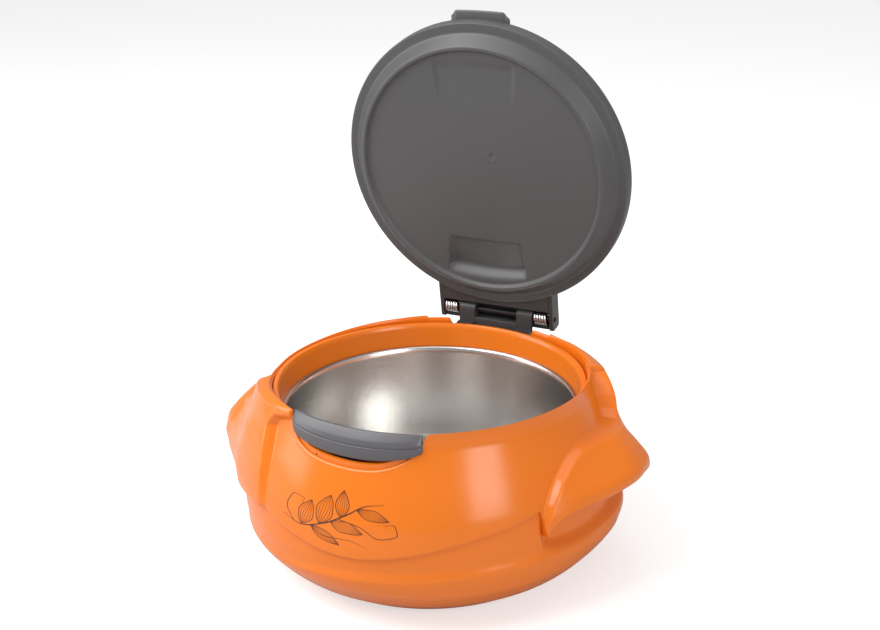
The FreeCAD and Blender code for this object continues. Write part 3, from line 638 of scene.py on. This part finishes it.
# Lid liner: a plug with a sloping skirt, a sunk disc, two pockets and a gate mark
PLUG_DEPTH = 9.0
PLUG_RECESS = 2.5
PLUG_RADIUS = LIP_RADIUS - 10.0
SKIRT_RADIUS = LIP_RADIUS - 3.0
POCKET_HALF = 28.0
POCKET_NEAR = 52.0
POCKET_FAR = 83.0
POCKET_DEPTH = 6.0
FRONT_POCKET_SHARE = 0.22
GATE_MARK = (9.5, -12.5)
DISC_LEVEL = LID_PLANE - PLUG_DEPTH + PLUG_RECESS
LINER_SEGMENTS = 420


def pocket_depth(x, y):
    """A pocket that slopes deeper towards the rim and returns by a short steep wall."""
    width = POCKET_HALF + 0.10 * (y - POCKET_NEAR)
    sides = smooth((width - np.abs(x)) / 2.6)
    bow = 2.5 * (x / POCKET_HALF) ** 2
    along = np.clip((y - POCKET_NEAR) / (POCKET_FAR - POCKET_NEAR - 7.0), 0, 1)
    back = smooth((POCKET_FAR - bow - y) / 9.0)
    return POCKET_DEPTH * (0.22 + 0.78 * along) * sides * back * smooth((y - POCKET_NEAR + 1.0) / 2.0)


def liner_surface():
    """The liner's points in the open pose, with the counts of its rows and columns."""
    outline = rounded([
        (0.01, DISC_LEVEL), (PLUG_RADIUS - 3.6, DISC_LEVEL), (PLUG_RADIUS - 2.4, LID_PLANE - PLUG_DEPTH),
        (PLUG_RADIUS, LID_PLANE - PLUG_DEPTH), (SKIRT_RADIUS, LID_PLANE), (LID_RADIUS - 0.1, LID_PLANE),
        (LID_RADIUS - 0.1, LID_PLANE + 2.5),
    ], 1.3)
    outline = np.array(subdivided([np.array(point) for point in outline], 0.9))
    grid = turned_points(outline, LINER_SEGMENTS)
    x, y, z = grid[:, 0], grid[:, 1], grid[:, 2]
    on_disc = np.hypot(x, y) < PLUG_RADIUS - 4.4
    depth = pocket_depth(x, y) + FRONT_POCKET_SHARE * pocket_depth(x, -y)
    gate = np.hypot(x - GATE_MARK[0], y - GATE_MARK[1])
    depth = depth + 0.5 * np.exp(-(gate / 1.4) ** 2) - 0.25 * np.exp(-((gate - 3.4) / 0.7) ** 2)
    grid[:, 2] = z + np.where(on_disc, depth, 0.0)
    return opened(grid), len(outline), LINER_SEGMENTS


points, row_count, column_count = liner_surface()
add_mesh("lid_liner_moulding", points, grid_faces(row_count, column_count), "lid", LID_GREY,
         ["lid_liner"], sharp=50)

# Lid shell: a skirt above the liner's flange and a low dome
SKIRT_TOP = LID_PLANE + 9.5
DOME_START = SKIRT_TOP - 0.4
DOME_RISE = 9.3
dome = [(LID_RADIUS - 2.2, LID_PLANE + 2.7), (LID_RADIUS, LID_PLANE + 2.7), (LID_RADIUS, DOME_START)]
dome += [(LID_RADIUS * math.cos(t), DOME_START + DOME_RISE * math.sin(t) ** 0.85)
         for t in np.linspace(0.12, math.pi / 2 - 0.002, 40)]
turned("lid_dome", rounded(dome, 0.8, 3), "lid", LID_GREY, ["lid_shell"], place=opened, sharp=45)

# Thumb tab at the lid's front
TAB_HALF = 21.0
TAB_REACH = 5.4
TAB_THICKNESS = 3.0
TAB_TOP = SKIRT_TOP + 2.4
TAB_SECTIONS = 41
TAB_CORNERS = 7


def tab_sections():
    """A rounded plate whose ends taper, as sections from left to right."""
    sections = []
    for t in np.linspace(-1, 1, TAB_SECTIONS):
        x = TAB_HALF * t
        end = smooth((1 - abs(t)) / 0.2)
        out = TAB_REACH * (0.25 + 0.75 * end) - 0.1
        root = math.sqrt((LID_RADIUS - 1.0) ** 2 - x * x)
        tip = LID_RADIUS + out - 0.6 * t * t
        thick = TAB_THICKNESS * (0.55 + 0.45 * end)
        under = TAB_TOP - thick
        ring = [(root, under), (tip - 1.2, under + 0.5), (tip - 0.3, under + 1.1),
                (tip, TAB_TOP - 0.5 * thick), (tip - 0.4, TAB_TOP - 0.7), (tip - 1.4, TAB_TOP - 0.1),
                (root, TAB_TOP)]
        sections += [(x, -y, z) for y, z in ring]
    return np.array(sections)


last_section = (TAB_SECTIONS - 1) * TAB_CORNERS
tab_ends = [list(range(TAB_CORNERS))[::-1], [last_section + k for k in range(TAB_CORNERS)]]
faces = [list(face) for face in grid_faces(TAB_SECTIONS, TAB_CORNERS)] + tab_ends
add_mesh("lid_tab", opened(tab_sections()), faces, "lid", LID_GREY, ["lid_tongue"], sharp=50)

# Push button: a rounded crescent whose ends draw in, with a groove under its front edge
BUTTON_SPAN = (-116.8, -66.6)
BUTTON_TOP = LIP_HEIGHT + 11.8
BUTTON_LOW = LIP_HEIGHT - 6.7
BUTTON_EDGE = LIP_HEIGHT + 4.6
BUTTON_DEPTH = 6.6


def button_surface():
    """Points and faces of the button, from sections along its arc."""
    theta = np.linspace(*BUTTON_SPAN, 141)
    middle = sum(BUTTON_SPAN) / 2
    u = (theta - middle) / (BUTTON_SPAN[1] - middle)
    end = np.sqrt(np.clip(1 - np.abs(u) ** 7, 0, 1))
    bottom = BUTTON_LOW + 0.2 + np.abs(u) ** 2.6 * np.where(u < 0, 4.6, 6.0)
    inner = INNER_FRONT + 0.1
    outer = inner + BUTTON_DEPTH * (0.45 + 0.55 * end)
    edge = BUTTON_EDGE + 1.8 * np.abs(u) ** 2.2
    rows = []
    for angle, low_z, out, edge_z, keep in zip(theta, bottom, outer, edge, end):
        top = BUTTON_TOP - 0.1 - 0.8 * (1 - keep)
        section = rounded([
            (inner, low_z + 0.4), (inner, top), (inner + 1.6, top), (out - 1.2, edge_z + 2.0),
            (out - 0.1, edge_z - 0.4), (out - 0.1, edge_z - 1.4), (out - 0.75, edge_z - 1.9),
            (out - 0.1, edge_z - 2.5), (out + 0.1, 0.45 * edge_z + 0.55 * low_z), (out - 0.5, low_z + 0.7),
            (out - 1.8, low_z), (inner + 1.0, low_z),
        ], 0.8, 4)
        turn = math.radians(angle)
        rows += [(r * math.cos(turn), r * math.sin(turn), z) for r, z in section]
    count = len(section)
    faces = [list(face) for face in grid_faces(len(theta), count)]
    faces += [list(range(count)), [(len(theta) - 1) * count + k for k in range(count)][::-1]]
    return rows, faces


points, faces = button_surface()
add_mesh("button_crescent", points, faces, "button", BUTTON_GREY, ["push_button"], sharp=55)

# Hinge cover on the lid: two cheeks and a hollow bridge, open towards the mount
CHEEK = 3.0
PLATE = 2.5


def hinge_cover():
    """The cover's three parts in one mesh: a cheek, the bridge and the other cheek."""
    half = high("lid_hinge_bracket", 0)
    front, inner_front = LID_RADIUS - 9.0, HINGE[1] - 7.0
    inner_back = high("hinge_mount", 1) + 0.6
    back = inner_back + PLATE
    bottom, top = HINGE[2] - 4.0, HINGE[2] + 8.5
    side = rounded([(front, bottom), (back, bottom), (back, top), (front, top)], 3.0, 6)
    bridge = [(front, bottom), (inner_front, bottom), (inner_front, top - PLATE), (inner_back, top - PLATE),
              (inner_back, bottom + 3.0), (back - 0.05, bottom + 3.0)]
    bridge += [point for point in side if point[1] > HINGE[2] + 3.0]
    points, faces = [], []
    for outline, start, end in ((side, -half, CHEEK - half), (bridge, CHEEK - half, half - CHEEK),
                                (side, half - CHEEK, half)):
        first = len(points)
        part_points, part_faces = prism(outline, start, end)
        points += part_points
        faces += [[first + k for k in face] for face in part_faces]
    return points, faces


points, faces = hinge_cover()
cover = add_mesh("hinge_cover", opened(points), faces, "lid", HINGE_GREY,
                 ["lid_hinge_bracket"], sharp=35)
soften(cover, 0.5)

# Boss on the shell under the hinge mount. Its outline is in (x, y), with a front that follows the rim ring
BOSS_HALF = 46.5
BOSS_BACK = HINGE[1] - 2.3
boss_front = np.linspace(-BOSS_HALF, BOSS_HALF, 25)
boss_outline = [(x, math.sqrt((RING_OUTER + 1.2) ** 2 - x * x)) for x in boss_front]
boss_outline += [(BOSS_HALF, BOSS_BACK), (-BOSS_HALF, BOSS_BACK)]
points, faces = prism(boss_outline, LIP_HEIGHT - 34.0, LIP_HEIGHT - 6.6)
upright = [(x, y, z) for z, x, y in points]
boss = add_mesh("hinge_boss", upright, faces, "body", ORANGE, sharp=35)
soften(boss, 1.5)

# Apron that closes the mount between its two arms
APRON_FRONT = HINGE[1] - 5.4
APRON_BACK = HINGE[1] - 3.0
APRON_LOW = LIP_HEIGHT - 5.0
APRON_TOP = HINGE[2] - 5.0
apron_outline = rounded([(APRON_FRONT, APRON_LOW), (APRON_FRONT, APRON_TOP), (APRON_BACK, APRON_TOP),
                         (APRON_BACK, APRON_LOW)], 0.8, 3)
points, faces = prism(apron_outline, -SEAT_INNER_HALF + 0.5, SEAT_INNER_HALF - 0.5)
add_mesh("mount_apron", points, faces, "body", HINGE_GREY, sharp=35)

# Torsion springs: a coil for each, without its legs
COIL_TURNS = 5
COIL_PITCH = 1.95
COIL_STEPS = 32
SPRING_WIRE = 1.5
SPRING_RADIUS = 4.4


def spring(name, node):
    """A coil in the middle of its node's place along X."""
    start_x = (low(node, 0) + high(node, 0)) / 2 - COIL_PITCH * COIL_TURNS / 2
    path = []
    for k in range(COIL_TURNS * COIL_STEPS + 1):
        turn = math.pi / 2 + 2 * math.pi * k / COIL_STEPS
        path.append((start_x + COIL_PITCH * k / COIL_STEPS, HINGE[1] + SPRING_RADIUS * math.cos(turn),
                     HINGE[2] + SPRING_RADIUS * math.sin(turn)))
    points, faces = tube(path, SPRING_WIRE / 2, 18)
    add_mesh(name, points, faces, "body", WIRE_STEEL, [node])


spring("spring_coil_left", "torsion_spring_left")
spring("spring_coil_right", "torsion_spring_right")


# CAD nodes that keep their shape: softened edges and a material each. The button pivot pin's near-black steel
# is painted shade in the notch
def dress(node, material, width):
    piece = frame["nodes"][node]
    piece.data.materials.clear()
    piece.data.materials.append(material)
    soften(piece, width)


dress("hinge_mount", HINGE_GREY, 0.5)
dress("hinge_mount_screws", PLAIN_STEEL, 0.25)
dress("hinge_pin", DARK_STEEL_AND_SHADE, 0.25)
# Painted shade: the pivot pin is near black so that it reads as the shadow in the button's notch
dress("button_pivot_pin", DARK_STEEL_AND_SHADE, 0.15)
dress("latch_shelf", ORANGE, 0.3)

# Foam, kept inside the mouldings: the body's fills round the bowl, the lid's lies above the liner
foam_outline = rounded([
    (0.01, 6.5), (88, 6.5), (104, 14), (116, 28), (120, 42), (118, 60), (113, 76), (109, 90), (103.5, 100),
    (100.5, 96), (LIP_RADIUS - 3.2, BOWL_RIM - 12), (90.5, BOWL_FLOOR + 9), (71, BOWL_FLOOR - 1.5),
    (0.01, BOWL_FLOOR - 1.5),
], 3.0)
turned("body_foam", foam_outline, "body", FOAM, ["foam_core"], segments=128)
lid_foam_low = DISC_LEVEL + POCKET_DEPTH + 3.5
lid_foam_outline = rounded([
    (0.01, lid_foam_low), (84, lid_foam_low), (96, lid_foam_low + 3.0), (96, lid_foam_low + 8.0),
    (60, lid_foam_low + 12.0), (0.01, lid_foam_low + 13.0),
], 2.0)
turned("lid_foam_disc", lid_foam_outline, "lid", FOAM, ["lid_foam"], segments=128, place=opened)

# Print on the front panel: a generic sprig of fine lines. Its middle is at (angle, height)
PRINT_LIFT = 0.10
PRINT_MIDDLE = (-93.0, 77.5)
PRINT_WIDEN = 1.25
PRINT_FLATTEN = 0.85
PRINT_RADIUS = 123.0


def print_point(x, y):
    """A point of the artwork, in millimetres from its middle, laid on the panel."""
    theta = PRINT_MIDDLE[0] + math.degrees(PRINT_WIDEN * x / PRINT_RADIUS)
    z = PRINT_MIDDLE[1] + PRINT_FLATTEN * y
    radius = float(upper_radius(np.array([theta]), np.array([z]))[0]) + PRINT_LIFT
    turn = math.radians(theta)
    return radius * math.cos(turn), radius * math.sin(turn), z


def stroke(points, widths, out, steps=26):
    """A ribbon along a smooth curve through chosen points, with widths spread along it."""
    keys = [(float(k), *point) for k, point in enumerate(points)]
    t = np.linspace(0, len(points) - 1, steps)
    line = keyed(keys, t)
    width_keys = [(float(k), width) for k, width in enumerate(widths)]
    width = keyed(width_keys, t * (len(widths) - 1) / (len(points) - 1))
    ahead = np.gradient(line, axis=0)
    ahead /= np.maximum(np.linalg.norm(ahead, axis=1), 1e-6)[:, None]
    across = np.stack([-ahead[:, 1], ahead[:, 0]], axis=1) * width[:, None] / 2
    first = len(out[0])
    for here, offset in zip(line, across):
        out[0].append(print_point(*(here + offset)))
        out[0].append(print_point(*(here - offset)))
    for k in range(steps - 1):
        a = first + 2 * k
        out[1].append([a, a + 1, a + 3, a + 2])


def leaf(base, tip, bulge, out, lines=7):
    """A leaf of fine lines between its two edges."""
    base, tip = np.array(base, float), np.array(tip, float)
    along = tip - base
    across = np.array([-along[1], along[0]])
    for k in range(lines):
        side = bulge * (2.0 * k / (lines - 1) - 1.0)
        middle = base + 0.45 * along + across * side
        near = base + 0.15 * along + across * side * 0.55
        far = base + 0.78 * along + across * side * 0.6
        heavy = 0.45 if k in (0, lines - 1) else 0.22
        stroke([base, near, middle, far, tip], [0.15, heavy, heavy, 0.12], out)


artwork = ([], [])
stroke([(-32, -9), (-20, -12), (-6, -6), (6, 3), (17, 12), (26, 14)], [0.2, 0.7, 0.9, 0.6, 0.2], artwork, 50)
stroke([(-24, -11.6), (-30, -2), (-26, 8), (-19, 7), (-20, 1)], [0.4, 0.5, 0.35, 0.15], artwork, 40)
stroke([(2, 0), (14, -3), (24, -10), (33, -6), (31, 1), (26, 0)], [0.5, 0.45, 0.4, 0.15], artwork, 44)
stroke([(-14, -10), (-4, -15), (8, -14), (19, -18)], [0.35, 0.4, 0.3, 0.12], artwork, 34)
leaves = [((-19, -11.5), (-14, 8), 0.24), ((-8, -7), (-3, 15), 0.22), ((4, 1), (4, 20), 0.2),
          ((-2, -3), (16, -8), 0.22), ((12, 8.5), (29, 3), 0.2), ((-13, -10), (4, -19), 0.18)]
for base, tip, bulge in leaves:
    leaf(base, tip, bulge, artwork)
add_mesh("front_print", artwork[0], artwork[1], "body", PRINT_INK)

# Floor and backdrop: white where the camera looks, with the object's shadow kept
FLOOR_COLOR = (0.60, 0.60, 0.60, 1.0)
FLOOR_GLOW = 0.58
WORLD_LEVEL = 0.42


def seen_directly(tree):
    """1 on rays from the camera, also through clear pieces, and 0 on the others."""
    path = tree.nodes.new("ShaderNodeLightPath")
    seen = tree.nodes.new("ShaderNodeMath")
    seen.operation = "MAXIMUM"
    tree.links.new(path.outputs["Is Camera Ray"], seen.inputs[0])
    tree.links.new(path.outputs["Is Transmission Ray"], seen.inputs[1])
    return seen.outputs[0]


def white_stage(name):
    """A pale matt floor that also glows where it is seen directly."""
    material = bpy.data.materials.new(name)
    material.use_nodes = True
    tree = material.node_tree
    tree.nodes.clear()
    diffuse = tree.nodes.new("ShaderNodeBsdfDiffuse")
    diffuse.inputs["Color"].default_value = FLOOR_COLOR
    glow = tree.nodes.new("ShaderNodeEmission")
    add = tree.nodes.new("ShaderNodeAddShader")
    level = tree.nodes.new("ShaderNodeMath")
    level.operation = "MULTIPLY"
    level.inputs[1].default_value = FLOOR_GLOW
    out = tree.nodes.new("ShaderNodeOutputMaterial")
    tree.links.new(seen_directly(tree), level.inputs[0])
    tree.links.new(level.outputs[0], glow.inputs["Strength"])
    tree.links.new(diffuse.outputs[0], add.inputs[0])
    tree.links.new(glow.outputs[0], add.inputs[1])
    tree.links.new(add.outputs[0], out.inputs["Surface"])
    return material


bpy.ops.mesh.primitive_plane_add(size=30.0, location=(0, 0, -0.0002))
floor = bpy.context.object
floor.name = "floor"
floor.data.materials.append(white_stage("floor_white"))

world = bpy.data.worlds.new("studio")
bpy.context.scene.world = world
world.use_nodes = True
tree = world.node_tree
background = tree.nodes["Background"]
tree.links.new(ramp(tree, seen_directly(tree), WORLD_LEVEL, 1.0), background.inputs["Strength"])
background.inputs["Color"].default_value = (1.0, 1.0, 1.0, 1.0)


def softbox(name, place, aim, size, power, shine=1.0):
    """A rectangular lamp that faces a point, in metres and watts."""
    light = bpy.data.lights.new(name, "AREA")
    light.shape = "RECTANGLE"
    light.size, light.size_y = size
    light.energy = power
    light.specular_factor = shine
    lamp = bpy.data.objects.new(name, light)
    lamp.location = place
    lamp.rotation_euler = (Vector(aim) - Vector(place)).to_track_quat("-Z", "Y").to_euler()
    bpy.context.scene.collection.objects.link(lamp)


softbox("key_left", (-1.3, -0.5, 0.6), (0, 0, 0.1), (0.8, 1.0), 8.0)
softbox("upper_left", (-0.75, -0.65, 1.45), (0, 0, 0.15), (1.3, 1.0), 23.0)
softbox("top", (0.1, 0.1, 1.7), (0, 0, 0.1), (1.5, 1.2), 7.0)
softbox("front_right", (1.5, -0.9, 0.75), (0, 0, 0.1), (0.7, 1.0), 11.0, 0.35)

# Camera, at the photograph's place
CAMERA_PLACE = (389.5, -797.3, 501.9)
CAMERA_FORWARD = Vector((-0.4036, 0.8440, -0.3532)).normalized()
CAMERA_RIGHT = Vector((0.9046, 0.4260, -0.0155)).normalized()
CAMERA_UP = CAMERA_RIGHT.cross(CAMERA_FORWARD)
lens = bpy.data.cameras.new("camera")
lens.sensor_width = 36.0
lens.lens = 59.1
camera = bpy.data.objects.new("camera", lens)
axes = Matrix((CAMERA_RIGHT, CAMERA_UP, -CAMERA_FORWARD)).transposed()
camera.matrix_world = Matrix.Translation(Vector(CAMERA_PLACE) * MM) @ axes.to_4x4()
bpy.context.scene.collection.objects.link(camera)
bpy.context.scene.camera = camera
bpy.context.scene.view_settings.view_transform = "Standard"
